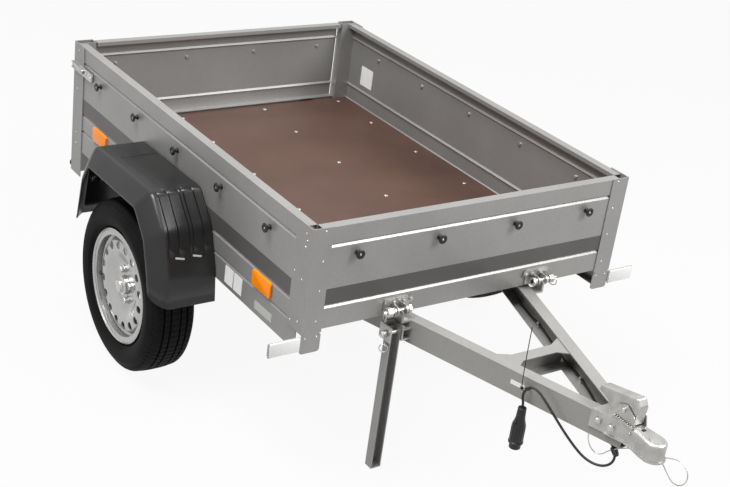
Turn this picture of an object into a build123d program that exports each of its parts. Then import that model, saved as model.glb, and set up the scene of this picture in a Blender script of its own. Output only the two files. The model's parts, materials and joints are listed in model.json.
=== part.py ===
from build123d import *
import os
from math import atan, cos, pi, radians, sin, tan

# Single-axle utility trailer, millimetres. +X is the trailer's left, -Y the towing
# end, +Z up. z = 0 is the ground; the trailer stands level on its wheels and prop leg.

os.makedirs("parts", exist_ok=True)

# ---- load box ----
box_width = 1130            # over the corner posts
box_length = 1550
box_front = -380
box_rear = box_front + box_length
box_mid = box_front + box_length / 2
rim_z = 800                 # top of the corner posts
bed_z = 502                 # top of the plywood
ply = 9
sheet = 2                   # pressed panel
post_sheet = 3
post_face = 63              # post seen from the front
post_side = 78              # post seen from the side
post_depth = 30
front_post_bottom = 483
rear_post_bottom = 327
side_bottom = 421
end_bottom = 491
flange = 27                 # width of the panels' folded top
lip = 12
bead_depth = 5
bead_half = 6
upper_bead_z = 742
lower_bead_z = 558
sill_bead_z = 498
knob_z = 710
knob_pitch_side = 280
knob_pitch_end = 276

# ---- wheels and axle ----
axle_y = 400
wheel_x = 670               # half of the track
tyre_r = 273.5
tyre_half_width = 78.5
rim_r = 182.5
hub_z = tyre_r
tube_y = 291                # axle tube, ahead of the wheels
tube_z = 391
tube_size = 60
tube_half_length = 535

# ---- drawbar ----
arm_spread = 241            # outer face of an arm at the box front
arm_slope = 0.314
arm_top = 485
arm_height = 72
arm_flange = 38
arm_sheet = 3
arm_front = -1075
pivot_y = 225
pivot_z = 448
nose_y = -1195
socket_y = -1165
socket_z = 462
socket_r = 25.3
cross_y = -677

# ---- prop leg ----
leg_x = -277
leg_y = -407
leg_z = 450


def save(builder, name):
    builder.part.label = name
    export_step(builder.part, f"parts/{name}.step")


def arm_x(y):
    """Outer face of a drawbar arm at the station y."""
    return arm_spread + arm_slope * (y - box_front)


def skin_points(top, bottom, beads, bottom_fold):
    """Section of a pressed panel: u runs inwards from the skin, v up."""
    points = [(flange, top - lip), (flange, top), (0, top)]
    for z in beads:
        points += [(0, z + bead_half), (bead_depth, z), (0, z - bead_half)]
    return points + [(0, bottom), (bottom_fold, bottom)]


half_w = box_width / 2
skin_x = half_w - post_sheet - sheet / 2
inner_l = box_length - 2 * (post_sheet + post_depth)

# ---- side panels ----
side_section = skin_points(rim_z - 4, side_bottom + 1, (upper_bead_z, lower_bead_z, sill_bead_z), 25)
for side, s in (("right", -1), ("left", 1)):
    with BuildPart() as side_panel:
        with BuildSketch(Plane.XZ.offset(-(box_rear - post_sheet - post_depth))):
            with BuildLine():
                Polyline(*[(s * (skin_x - u), v) for u, v in side_section])
            trace(line_width=sheet)
        extrude(amount=inner_l)
    save(side_panel, f"side_panel_{side}")

# ---- front panel and tailgate: the same pressing, the front one lapped by its posts ----
front_half = skin_x - flange - 2
end_section = skin_points(rim_z - 4, end_bottom + 1, (upper_bead_z, lower_bead_z), 40)
with BuildPart() as front_panel:
    with BuildSketch(Plane.YZ.offset(-front_half)):
        with BuildLine():
            Polyline(*[(box_front + 3 + sheet / 2 + u, v) for u, v in end_section])
        trace(line_width=sheet)
    extrude(amount=2 * front_half)
save(front_panel, "front_panel")

gate_half = half_w - post_face - 6
gate_bottom = bed_z + 8
gate_section = skin_points(rim_z - 4, gate_bottom, (upper_bead_z, lower_bead_z), flange)
with BuildPart() as tailgate_panel:
    with BuildSketch(Plane.YZ.offset(-gate_half)):
        with BuildLine():
            Polyline(*[(box_rear - 3 - sheet / 2 - u, v) for u, v in gate_section])
        trace(line_width=sheet)
    extrude(amount=2 * gate_half)
save(tailgate_panel, "tailgate_panel")

# ---- corner posts: open angles at the front, closed posts with a side leg at the rear ----
post_box = post_depth + post_sheet
with BuildPart() as corner_posts:
    for s in (-1, 1):
        with BuildSketch(Plane.XY.offset(front_post_bottom)):
            with Locations((s * (half_w - post_face / 2), box_front + post_sheet / 2)):
                Rectangle(post_face, post_sheet)
            with Locations((s * (half_w - post_sheet / 2), box_front + post_side / 2)):
                Rectangle(post_sheet, post_side)
        extrude(amount=rim_z - front_post_bottom)
        with BuildSketch(Plane.XY.offset(rear_post_bottom)):
            with Locations((s * (half_w - post_face / 2), box_rear - post_box / 2)):
                Rectangle(post_face, post_box)
                Rectangle(post_face - 2 * post_sheet, post_box - 2 * post_sheet, mode=Mode.SUBTRACT)
            with Locations((s * (half_w - post_sheet / 2), box_rear - post_side / 2)):
                Rectangle(post_sheet, post_side)
        extrude(amount=rim_z - rear_post_bottom)
save(corner_posts, "corner_posts")

# ---- plywood floor, notched round the rear posts ----
with BuildPart() as floor_panel:
    with BuildSketch(Plane.XY.offset(bed_z - ply)):
        with Locations((0, box_mid)):
            Rectangle(2 * (skin_x - sheet / 2 - bead_depth - 1), box_length - 12)
        for s in (-1, 1):
            with Locations((s * half_w, box_rear)):
                Rectangle(2 * (post_face + 1), 2 * (post_box + 1), mode=Mode.SUBTRACT)
    extrude(amount=ply)
save(floor_panel, "floor_panel")

# ---- cross rails under the floor, clear of the drawbar arms ----
rail_top = bed_z - ply
rail_depth = 55
rail_x = skin_x - sheet / 2 - 2
with BuildPart() as floor_rails:
    for y, width in ((tube_y, 60), (640, 70), (900, 70)):
        with BuildSketch(Plane.YZ.offset(-rail_x)):
            with BuildLine():
                Polyline((y - width / 2 - 20, rail_top - 1), (y - width / 2, rail_top - 1),
                         (y - width / 2 + 8, rail_top - rail_depth), (y + width / 2 - 8, rail_top - rail_depth),
                         (y + width / 2, rail_top - 1), (y + width / 2 + 20, rail_top - 1))
            trace(line_width=sheet)
        extrude(amount=2 * rail_x)
save(floor_rails, "floor_rails")

# ---- rear beam between the rear posts, with the lamp board below it ----
beam_x = half_w - post_face - 1
beam_y = box_rear - post_sheet - 1
with BuildPart() as rear_beam:
    with BuildSketch(Plane.YZ.offset(-beam_x)):
        with BuildLine():
            Polyline((beam_y - 50, rail_top - 1), (beam_y, rail_top - 1), (beam_y, 345), (beam_y - 22, 345))
        trace(line_width=sheet)
    extrude(amount=2 * beam_x)
save(rear_beam, "rear_beam")

with BuildPart() as rear_lamps:
    for s in (-1, 1):
        with BuildSketch(Plane.XZ.offset(-(beam_y + 1))):
            with Locations((s * 420, 392)):
                RectangleRounded(110, 84, 12)
        extrude(amount=-16)
    fillet(rear_lamps.faces().sort_by(Axis.Y)[-2:].edges(), 4)
save(rear_lamps, "rear_lamps")

with BuildPart() as plate_board:
    with BuildSketch(Plane.XZ.offset(-(beam_y + 1))):
        with Locations((0, 404)):
            RectangleRounded(520, 112, 8)
    extrude(amount=-4)
save(plate_board, "plate_board")

with BuildPart() as rear_buffers:
    for s in (-1, 1):
        with Locations(Plane((s * (half_w - 20), box_rear, 341), z_dir=(0, 1, 0))):
            Cylinder(7, 12, align=(Align.CENTER, Align.CENTER, Align.MIN))
        with Locations(Plane((s * (half_w - 20), box_rear + 10, 341), z_dir=(0, 1, 0))):
            Cylinder(15, 13, align=(Align.CENTER, Align.CENTER, Align.MIN))
save(rear_buffers, "rear_buffers")

# ---- tailgate hinge: knuckles on the beam and on the gate, one line ----
hinge_y = box_rear + 7
hinge_z = bed_z - 4
hinge_r = 6
with BuildPart() as hinge_leaves:
    for x in (-380, 380):
        with BuildSketch(Plane.YZ.offset(x - 45)):
            with Locations((hinge_y, hinge_z)):
                Circle(hinge_r)
            with Locations((beam_y + 3, hinge_z - 22)):
                Rectangle(4, 44)
            with Locations((beam_y + 6, hinge_z - 3)):
                Rectangle(9, 6)
        extrude(amount=29)
save(hinge_leaves, "hinge_leaves")

with BuildPart() as gate_hinges:
    for x in (-380, 380):
        with BuildSketch(Plane.YZ.offset(x - 15)):
            with Locations((hinge_y, hinge_z)):
                Circle(hinge_r)
            with Locations((box_rear - 1, hinge_z + 28)):
                Rectangle(4, 48)
            with Locations((box_rear + 2, hinge_z + 3)):
                Rectangle(8, 6)
        extrude(amount=60)
save(gate_hinges, "gate_hinges")

# ---- cover knobs: mushroom heads for the tarpaulin cord ----
knob_profile = [(0, 0), (5, 0), (5, 9), (14, 12), (14, 17), (10, 20), (0, 20)]


def knob_plane(x, y, z, out):
    """The knob's section plane at a point of a wall, out being the wall's outward direction."""
    return Plane((x, y, z), x_dir=(0, 0, 1), z_dir=Vector(0, 0, 1).cross(Vector(out)))


side_knobs = [(s * (skin_x + 1), box_mid + i * knob_pitch_side, (s, 0, 0)) for s in (-1, 1) for i in range(-2, 3)]
end_knob_x = [i * knob_pitch_end / 2 for i in (-3, -1, 1, 3)]
with BuildPart() as cover_knobs:
    for x, y, out in side_knobs + [(x, box_front + 3, (0, -1, 0)) for x in end_knob_x]:
        with BuildSketch(knob_plane(x, y, knob_z, out)):
            with BuildLine():
                Polyline(*knob_profile, close=True)
            make_face()
        revolve(axis=Axis((x, y, knob_z), out))
save(cover_knobs, "cover_knobs")

with BuildPart() as gate_knobs:
    for x in end_knob_x:
        with BuildSketch(knob_plane(x, box_rear - 3, knob_z, (0, 1, 0))):
            with BuildLine():
                Polyline(*knob_profile, close=True)
            make_face()
        revolve(axis=Axis((x, box_rear - 3, knob_z), (0, 1, 0)))
save(gate_knobs, "gate_knobs")


# ---- reflectors: amber on the sides, white on brackets outboard of the front posts ----
with BuildPart() as side_reflectors:
    for s in (-1, 1):
        for y in (box_mid - 552, box_mid + 547):
            with BuildSketch(Plane.YZ.offset(s * (skin_x + 1))):
                with Locations((y, 531)):
                    RectangleRounded(102, 50, 9)
            extrude(amount=s * 7)
save(side_reflectors, "side_reflectors")

bracket_high = 59
lens_length = 100
lens_z = 459
with BuildPart() as front_brackets:
    for s in (-1, 1):
        with BuildSketch(Plane.XZ.offset(-box_front)):
            with BuildLine():
                outer, inner = s * half_w, s * (half_w - post_face)
                FilletPolyline((outer, front_post_bottom), (inner, front_post_bottom),
                               (inner, front_post_bottom - bracket_high), (outer, front_post_bottom - bracket_high),
                               (outer, front_post_bottom), radius=(8, 10, 10, 8), close=False)
            make_face()
            with Locations((s * (half_w + lens_length / 2 + 1), lens_z + 1)):
                Rectangle(lens_length + 2, 36)
        extrude(amount=-post_sheet)
save(front_brackets, "front_brackets")

with BuildPart() as front_reflectors:
    for s in (-1, 1):
        with BuildSketch(Plane.XZ.offset(-box_front)):
            with Locations((s * (half_w + lens_length / 2 + 2), lens_z)):
                RectangleRounded(lens_length, 46, 3)
        extrude(amount=6)
save(front_reflectors, "front_reflectors")

# ---- mudguards: one folded shell each, open to the box and below ----
guard_wall = 4
guard_in = half_w + 0.5
guard_out = 725
guard_edge = 764
guard_taper = 48
guard_reach = 310
guard_front_foot = 348
guard_rear_foot = 385
guard_below = 300
guard_arch = [(300, 440), (271, 579), (225, 652), (-172, 662), (-255, 575), (-300, 440)]


def guard_profile(plane, shrink, front_bottom, rear_bottom):
    points = [(axle_y + y * (1 - shrink / guard_reach), z - shrink) for y, z in guard_arch]
    end = guard_reach - shrink
    points = [(axle_y + end, rear_bottom)] + points + [(axle_y - end, front_bottom)]
    with BuildSketch(plane) as profile:
        with BuildLine():
            Polyline(*points, close=True)
        make_face()
    return profile.sketch


for side, s in (("right", -1), ("left", 1)):
    near = Plane.YZ.offset(s * guard_in)
    far = Plane.YZ.offset(s * guard_out)
    with BuildPart() as mudguard:
        extrude(guard_profile(near, 0, guard_front_foot, guard_rear_foot), amount=s * (guard_out - guard_in))
        extrude(guard_profile(far, 0, guard_front_foot, guard_rear_foot), amount=guard_edge - guard_out,
                dir=(s, 0, 0), taper=guard_taper)
        extrude(guard_profile(near, guard_wall, guard_below, guard_below), amount=s * (guard_out - guard_in),
                mode=Mode.SUBTRACT)
        extrude(guard_profile(far, guard_wall, guard_below, guard_below), amount=guard_edge - guard_out,
                dir=(s, 0, 0), taper=guard_taper, mode=Mode.SUBTRACT)
    save(mudguard, f"mudguard_{side}")

# ---- axle: tube, its mounts under the rail, swing arms and stub shafts ----
with BuildPart() as axle_tube:
    with BuildSketch(Plane.YZ.offset(-tube_half_length)):
        with Locations((tube_y, tube_z)):
            RectangleRounded(tube_size, tube_size, 8)
            RectangleRounded(tube_size - 10, tube_size - 10, 4, mode=Mode.SUBTRACT)
    extrude(amount=2 * tube_half_length)
save(axle_tube, "axle_tube")

rail_bottom = rail_top - rail_depth - sheet / 2
with BuildPart() as axle_mounts:
    for s in (-1, 1):
        with Locations((s * 480, tube_y, (tube_z + tube_size / 2 + rail_bottom) / 2)):
            Box(80, 40, rail_bottom - tube_z - tube_size / 2)
save(axle_mounts, "axle_mounts")

shaft_r = 16
hub_back = 48               # hub's inner face, inboard of the wheel's middle
with BuildPart() as swing_arms:
    for s in (-1, 1):
        with BuildSketch(Plane.YZ.offset(s * (tube_half_length + 2))):
            with Locations((tube_y, tube_z)):
                Circle(27)
            with Locations((axle_y, hub_z)):
                Circle(30)
            make_hull()
        extrude(amount=s * 30)
        with Locations(Plane((s * tube_half_length, tube_y, tube_z), z_dir=(s, 0, 0))):
            Cylinder(22, 6, align=(Align.CENTER, Align.CENTER, Align.MIN))
        with Locations(Plane((s * (tube_half_length + 20), axle_y, hub_z), z_dir=(s, 0, 0))):
            Cylinder(shaft_r, 125, align=(Align.CENTER, Align.CENTER, Align.MIN))
save(swing_arms, "swing_arms")

# ---- wheels: u runs outwards from the wheel's middle plane, r from its axis ----
rim_line = [(67, 181), (61, 177), (61, 163), (42, 162), (30, 148), (-12, 148), (-28, 162), (-61, 163),
            (-61, 177), (-67, 181)]
disc_line = [(8, 146), (42, 145.5), (49, 141), (52, 131), (51, 110), (47, 100), (36, 80), (33, 73), (33, 31)]
vents = 16
vent_r = 12.5
vent_circle_r = 129
vent_turn = 14
bolt_circle_r = 49
bolt_turn = 21
for side, s in (("right", -1), ("left", 1)):
    centre = Vector(s * wheel_x, axle_y, hub_z)
    section = Plane(centre, x_dir=(s, 0, 0), z_dir=(0, -s, 0))
    face = Plane(centre, x_dir=(0, 1, 0), z_dir=(s, 0, 0))
    spin = Axis(centre, (1, 0, 0))

    with BuildPart() as tyre:
        with BuildSketch(section):
            with BuildLine():
                Polyline((-57, 166), (57, 166), (57, 185), (68, 194))
                ThreePointArc((68, 194), (tyre_half_width, 222), (66, 258))
                Line((66, 258), (57, 269))
                ThreePointArc((57, 269), (0, tyre_r), (-57, 269))
                Line((-57, 269), (-66, 258))
                ThreePointArc((-66, 258), (-tyre_half_width, 222), (-68, 194))
                Polyline((-68, 194), (-57, 185), (-57, 166))
            make_face()
        revolve(axis=spin)
    save(tyre, f"tyre_{side}")

    with BuildPart() as rim:
        with BuildSketch(section):
            with BuildLine():
                Polyline(*rim_line)
            trace(line_width=4)
            with BuildLine():
                Polyline(*disc_line)
            trace(line_width=4)
        revolve(axis=spin)
        with Locations(face.offset(45)):
            with PolarLocations(vent_circle_r, vents, start_angle=vent_turn):
                Cylinder(vent_r, 30, mode=Mode.SUBTRACT)
    save(rim, f"rim_{side}")

    with BuildPart() as hub:
        with BuildSketch(section):
            with BuildLine():
                Polyline((-hub_back, shaft_r + 0.3), (-hub_back, 36), (18, 36), (18, 62), (31, 62), (31, 29),
                         (50, 29), (56, 22), (56, 0), (48, 0), (48, shaft_r + 0.3), close=True)
            make_face()
        revolve(axis=spin)
        with Locations(face.offset(35)):
            with PolarLocations(bolt_circle_r, 4, start_angle=bolt_turn):
                Cylinder(9, 13, align=(Align.CENTER, Align.CENTER, Align.MIN))
    save(hub, f"hub_{side}")

# ---- drawbar: two channels with their webs outside, meeting under the coupling ----
slant = cos(atan(arm_slope))
arm_rear = 188
eye_x = 398                 # middle of the pivot eye at the rear of an arm
eye_t = 8
eye_r = 28
pin_r = 6


def arm_strip(y1, y2, outer, inner):
    """Plan of a strip along an arm, outer and inner being distances from its outer face."""
    return [(arm_x(y) - d / slant, y) for y, d in ((y1, outer), (y2, outer), (y2, inner), (y1, inner))]


for side, s in (("right", -1), ("left", 1)):
    with BuildPart() as arm:
        for z, height, width in ((arm_top - arm_height, arm_height, arm_sheet),
                                 (arm_top - arm_height, arm_sheet, arm_flange),
                                 (arm_top - arm_sheet, arm_sheet, arm_flange)):
            with BuildSketch(Plane.XY.offset(z)):
                with BuildLine():
                    Polyline(*[(s * x, y) for x, y in arm_strip(arm_front, arm_rear, 0, width)], close=True)
                make_face()
            extrude(amount=height)
        split(bisect_by=Plane.YZ.offset(s), keep=Keep.TOP if s > 0 else Keep.BOTTOM)
        with BuildSketch(Plane.YZ.offset(s * eye_x)):
            with Locations((pivot_y, pivot_z)):
                Circle(eye_r)
            with Locations((pivot_y - eye_r, pivot_z)):
                Rectangle(2 * eye_r, 2 * eye_r)
            with Locations(((arm_rear - 60 + arm_rear) / 2, arm_top - arm_height / 2)):
                Rectangle(60, arm_height)
        extrude(amount=eye_t / 2, both=True)
        with Locations(Plane((s * eye_x, pivot_y, pivot_z), z_dir=(1, 0, 0))):
            Cylinder(pin_r + 0.3, 3 * eye_t, mode=Mode.SUBTRACT)
    save(arm, f"drawbar_arm_{side}")

with BuildPart() as pivot_bolts:
    for s in (-1, 1):
        with Locations(Plane((s * eye_x, pivot_y, pivot_z), z_dir=(1, 0, 0))):
            Cylinder(pin_r, 30)
        for x in (eye_x - 14, eye_x + 14):
            with Locations(Plane((s * x, pivot_y, pivot_z), z_dir=(1, 0, 0))):
                Cylinder(11, 7)
save(pivot_bolts, "pivot_bolts")

rail_front = tube_y - 29.97  # the rail's front wall at the ears' upper corner
with BuildPart() as pivot_ears:
    for s in (-1, 1):
        for x in (eye_x - 7.5, eye_x + 7.5):
            with BuildSketch(Plane.YZ.offset(s * x)):
                with Locations((pivot_y, pivot_z)):
                    Circle(22)
                with BuildLine():
                    Polyline((pivot_y, pivot_z - 22), (pivot_y, pivot_z + 22), (rail_front, rail_top - 8),
                             (rail_front + 6.37, rail_top - rail_depth + 4), close=True)
                make_face()
            extrude(amount=2.5, both=True)
            with Locations(Plane((s * x, pivot_y, pivot_z), z_dir=(1, 0, 0))):
                Cylinder(pin_r, 6, mode=Mode.SUBTRACT)
save(pivot_ears, "pivot_ears")

# ---- cross member inside the channels, open to the front, with gussets ----
web_gap = arm_sheet + 0.2
cable_gap = 26              # left free beside the arm's web for the cable


def gusset_x(y):
    return arm_x(y) - web_gap / slant


with BuildPart() as cross_member:
    low, high = arm_top - arm_height + web_gap, arm_top - web_gap
    for z, height, depth, gap in ((low, 3, 38, cable_gap), (low, high - low, 3, cable_gap), (high - 3, 3, 38, web_gap)):
        x1, x2 = (arm_x(y) - gap / slant for y in (cross_y - depth, cross_y))
        with BuildSketch(Plane.XY.offset(z)):
            with BuildLine():
                Polyline((-x1, cross_y - depth), (x1, cross_y - depth), (x2, cross_y), (-x2, cross_y), close=True)
            make_face()
        extrude(amount=height)
    with BuildSketch(Plane.XY.offset(high - 3)):
        for s in (-1, 1):
            with BuildLine():
                Polyline((s * 70, cross_y), (s * gusset_x(cross_y), cross_y),
                         (s * gusset_x(cross_y + 45), cross_y + 45), close=True)
            make_face()
            with BuildLine():
                Polyline((s * 60, cross_y - 38), (s * gusset_x(cross_y - 38), cross_y - 38),
                         (s * gusset_x(cross_y - 78), cross_y - 78), close=True)
            make_face()
    extrude(amount=3)
save(cross_member, "cross_member")

# ---- coupling: pressed head over the arms' ends, ball socket open below ----
head_rear = -985
head_bottom = 438
head_top = 491
head_wall = 4.3             # from an arm's outer face to the head's
head_r = -nose_y + socket_y
throat_y = -1085
waist_y = -1115
waist_half = 25
lip_rear = -1030
lip_out = 4
lever_ear = 21              # middle of an ear


def head_outline():
    """Plan of the head: along both arms to the throat, a short waist, then round the ball."""
    rear, throat = arm_x(head_rear) + head_wall, arm_x(throat_y) + head_wall
    side = [(rear, head_rear), (throat, throat_y), (waist_half, waist_y), (head_r, socket_y + 12), (head_r, socket_y)]
    Polyline(*side)
    ThreePointArc((head_r, socket_y), (0, nose_y), (-head_r, socket_y))
    Polyline(*[(-x, y) for x, y in reversed(side)], side[0])


with BuildPart() as coupling_head:
    with BuildSketch(Plane.XY.offset(head_bottom)):
        with BuildLine():
            head_outline()
        make_face()
    extrude(amount=head_top - head_bottom)
    top_edges = coupling_head.faces().sort_by(Axis.Z)[-1].edges()
    fillet(top_edges.filter_by(lambda edge: edge.center().Y < waist_y), 9)
    with BuildSketch(Plane.XY.offset(head_bottom)):
        with BuildLine():
            head_outline()
        make_face()
        offset(amount=lip_out)
        with Locations((0, lip_rear + 200)):
            Rectangle(400, 400, mode=Mode.SUBTRACT)
    extrude(amount=4)
    with BuildSketch(Plane.XY.offset(head_bottom - 1)):
        with BuildLine():
            Polyline((-arm_x(head_rear + 1) - 0.3, head_rear + 1), (-arm_x(throat_y + 6) - 0.3, throat_y + 6),
                     (arm_x(throat_y + 6) + 0.3, throat_y + 6), (arm_x(head_rear + 1) + 0.3, head_rear + 1),
                     close=True)
        make_face()
    extrude(amount=arm_top - head_bottom + 1.3, mode=Mode.SUBTRACT)
    with BuildSketch(Plane(origin=(0, socket_y, 0), x_dir=(1, 0, 0), z_dir=(0, -1, 0))):
        with BuildLine():
            Line((0, head_bottom - 1), (0, socket_z + socket_r))
            ThreePointArc((0, socket_z + socket_r), (socket_r * sin(radians(45)), socket_z + socket_r * cos(radians(45))),
                          (socket_r, socket_z))
            Polyline((socket_r, socket_z), (socket_r, head_bottom - 1), (0, head_bottom - 1))
        make_face()
    revolve(axis=Axis((0, socket_y, 0), (0, 0, 1)), mode=Mode.SUBTRACT)
    # window for the wear pin, ahead of the lever
    with Locations((0, waist_y - 5, head_top)):
        Box(14, 9, 20, mode=Mode.SUBTRACT)
    # ears that carry the lever's pivot
    for x in (-lever_ear, lever_ear):
        with BuildSketch(Plane.YZ.offset(x)):
            with BuildLine():
                FilletPolyline((-1108, head_top - 1), (-1100, 520), (-1066, 541), (-1036, 528), (-1012, head_top - 1),
                               radius=(9, 14, 12))
                Line((-1012, head_top - 1), (-1108, head_top - 1))
            make_face()
        extrude(amount=1.5, both=True)
save(coupling_head, "coupling_head")

# the lever is a hood: a grip that runs back from a tall front, walls at both sides
lever_half = 17
lever_wall = 3
lever_side = [(-1098, 496), (-1103, 552), (-1092, 571), (-966, 541), (-962, 527), (-1000, 514), (-1024, 497)]
with BuildPart() as coupling_lever:
    with BuildSketch(Plane.YZ.offset(-lever_half)):
        with BuildLine():
            Polyline(*lever_side, close=True)
        make_face()
    extrude(amount=2 * lever_half)
    long_edges = coupling_lever.edges().filter_by(lambda edge: abs(abs(edge.center().X) - lever_half) < 0.1
                                                  and edge.center().Z > 535 or abs(edge.center().X) < 0.1
                                                  and edge.center().Z > 550)
    fillet(long_edges, 6)
    with BuildSketch(Plane.YZ.offset(lever_wall - lever_half)):
        with BuildLine():
            Polyline((-1095, 490), (-1099, 551), (-1090, 567), (-958, 535.5), (-958, 500), (-1000, 490), close=True)
        make_face()
    extrude(amount=2 * (lever_half - lever_wall), mode=Mode.SUBTRACT)
save(coupling_lever, "coupling_lever")

with BuildPart() as coupling_bolts:
    for s in (-1, 1):
        for y, z in ((-1009, 465), (-1047, 463)):
            web = Plane((s * (arm_x(y) + head_wall), y, z), z_dir=(s * slant, -arm_slope * slant, 0))
            with Locations(web):
                Cylinder(9, 7, align=(Align.CENTER, Align.CENTER, Align.MIN))
        with Locations(Plane((s * (lever_ear + 1.5), -1062, 524), z_dir=(s, 0, 0))):
            Cylinder(6.5, 5, align=(Align.CENTER, Align.CENTER, Align.MIN))
save(coupling_bolts, "coupling_bolts")

# ---- lock between box and arms: cross pin through two ears, resting in the arm's catch ----
lock_y = -402
lock_z = 514
lock_r = 6
ear_in, ear_out = 243, 272
with BuildPart() as lock_brackets:
    for s in (-1, 1):
        with BuildSketch(Plane.XZ.offset(-(box_front + 3))):
            with Locations((s * (ear_in + ear_out) / 2, 519)):
                RectangleRounded(86, 46, 6)
        extrude(amount=5)
        for x in (ear_in, ear_out):
            with BuildSketch(Plane.YZ.offset(s * x)):
                with Locations((lock_y, lock_z)):
                    Circle(15)
                with Locations(((lock_y + box_front - 2) / 2, lock_z)):
                    Rectangle(box_front - 2 - lock_y, 30)
            extrude(amount=2, both=True)
            with Locations(Plane((s * x, lock_y, lock_z), z_dir=(1, 0, 0))):
                Cylinder(lock_r, 6, mode=Mode.SUBTRACT)
save(lock_brackets, "lock_brackets")

with BuildPart() as lock_pins:
    for s in (-1, 1):
        for x1, x2, r in ((ear_in - 18, ear_out + 44, lock_r), (ear_in - 12, ear_in - 3, 11),
                          (ear_out + 3, ear_out + 12, 11), (ear_out + 15, ear_out + 24, 11)):
            with Locations(Plane((s * x1, lock_y, lock_z), z_dir=(s, 0, 0))):
                Cylinder(r, x2 - x1, align=(Align.CENTER, Align.CENTER, Align.MIN))
save(lock_pins, "lock_pins")

with BuildPart() as lock_catches:
    for s in (-1, 1):
        with BuildSketch(Plane.YZ.offset(s * (ear_in + ear_out) / 2)):
            with Locations((lock_y, (arm_top - 5 + lock_z) / 2)):
                Rectangle(34, lock_z - arm_top + 5)
            with Locations((lock_y, lock_z)):
                Circle(lock_r + 3, mode=Mode.SUBTRACT)
        extrude(amount=3, both=True)
        with BuildSketch(Plane.XY.offset(arm_top - 5)):
            with BuildLine():
                x = (ear_in + ear_out) / 2
                Polyline((s * x, lock_y - 17), (s * arm_x(lock_y - 17), lock_y - 17),
                         (s * arm_x(lock_y + 17), lock_y + 17), (s * x, lock_y + 17), close=True)
            make_face()
        extrude(amount=5)
save(lock_catches, "lock_catches")

# ---- prop leg: a channel hinged on a bracket at the right-hand arm ----
leg_half = 17
leg_depth = 15
leg_top = leg_z + 12
with BuildPart() as prop_leg:
    with BuildSketch(Plane.XY):
        with Locations((leg_x, leg_y)):
            Rectangle(2 * leg_half, 2 * leg_depth)
        with Locations((leg_x, leg_y - 3)):
            Rectangle(2 * leg_half - 6, 2 * leg_depth, mode=Mode.SUBTRACT)
    extrude(amount=leg_top)
    with Locations((leg_x, leg_y, 2)):
        Box(2 * leg_half, 2 * leg_depth, 4)
    with Locations(Plane((leg_x, leg_y, leg_z), z_dir=(1, 0, 0))):
        Cylinder(pin_r + 0.3, 3 * leg_half, mode=Mode.SUBTRACT)
save(prop_leg, "prop_leg")

bracket_gap = 1
ear_t = 5
with BuildPart() as leg_bracket:
    for x in (leg_x - leg_half - bracket_gap - ear_t / 2, leg_x + leg_half + bracket_gap + ear_t / 2):
        with BuildSketch(Plane.YZ.offset(x)):
            with Locations(((leg_y - 20 - 375) / 2, 451)):
                Rectangle(leg_y - 20 + 375, 46)
        extrude(amount=ear_t / 2, both=True)
        with Locations(Plane((x, leg_y, leg_z), z_dir=(1, 0, 0))):
            Cylinder(pin_r, ear_t + 1, mode=Mode.SUBTRACT)
    with Locations((leg_x, -378, 451)):
        Box(2 * (leg_half + bracket_gap + ear_t), 5, 46)
    inner = leg_x + leg_half + bracket_gap + 1
    for z in (428, 460):
        with BuildSketch(Plane.XY.offset(z)):
            with BuildLine():
                Polyline((inner, -427), (-arm_x(-427), -427), (-arm_x(-380), -380), (inner, -380), close=True)
            make_face()
        extrude(amount=5)
save(leg_bracket, "leg_bracket")

with BuildPart() as leg_bolt:
    with Locations(Plane((leg_x - 34, leg_y, leg_z), z_dir=(1, 0, 0))):
        Cylinder(pin_r, 62, align=(Align.CENTER, Align.CENTER, Align.MIN))
    with Locations(Plane((leg_x - 34, leg_y, leg_z), z_dir=(1, 0, 0))):
        Cylinder(10, 8, align=(Align.CENTER, Align.CENTER, Align.MIN))
save(leg_bolt, "leg_bolt")

# ---- tailgate latches on the box sides, hooked round the rear posts ----
with BuildPart() as gate_latches:
    for s in (-1, 1):
        with BuildSketch(Plane.YZ.offset(s * half_w)):
            with Locations((1093, 717)):
                RectangleRounded(158, 30, 8)
        extrude(amount=s * 5)
        with BuildSketch(Plane.XY.offset(705)):
            with Locations((s * (half_w - 10), box_rear + 3)):
                Rectangle(30, 6)
            with Locations((s * (half_w - 20), box_rear + 14)):
                Rectangle(10, 22)
            with Locations((s * (half_w + 2.5), 1160)):
                Rectangle(5, 32)
        extrude(amount=24)
save(gate_latches, "gate_latches")

# ---- cords ----
cable_r = 3.5
wire_r = 1.5
arm_cable = [(262, -262, 431), (236, -345, 424), (211, -428, 422), (187, -510, 430), (158, -600, 423),
             (130, -690, 421), (104, -775, 430), (78, -850, 425), (54, -905, 423), (26, -942, 425),
             (7, -966, 417), (-1, -996, 406), (-8, -1034, 400), (-14, -1061, 389), (-22, -1066, 363),
             (-33, -1049, 344), (-45, -1022, 338), (-56, -991, 344), (-67, -960, 364), (-81, -931, 392),
             (-94, -901, 423), (-106, -870, 454), (-113, -848, 472), (-120, -824, 476), (-126, -808, 459),
             (-128, -804, 437), (-124, -809, 417), (-124, -809, 404)]
loop_wire = [(-46, -985, 413), (-46, -985, 392), (-40, -1004, 366), (-30, -1026, 364), (-22, -1044, 388),
             (-10, -1068, 407), (10, -1100, 421), (29, -1138, 429), (31, -1174, 422), (20, -1208, 409),
             (8, -1240, 405), (3, -1270, 418), (1, -1286, 445), (0, -1280, 472), (0, -1252, 483),
             (0, -1222, 472), (0, -1200, 460)]


def cord_radii(points):
    corners = zip(points, points[1:], points[2:])
    radii = []
    for a, b, c in corners:
        u, v = Vector(*b) - Vector(*a), Vector(*c) - Vector(*b)
        radii.append(0.45 * min(u.length, v.length) / tan(radians(u.get_angle(v)) / 2))
    return radii


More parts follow.
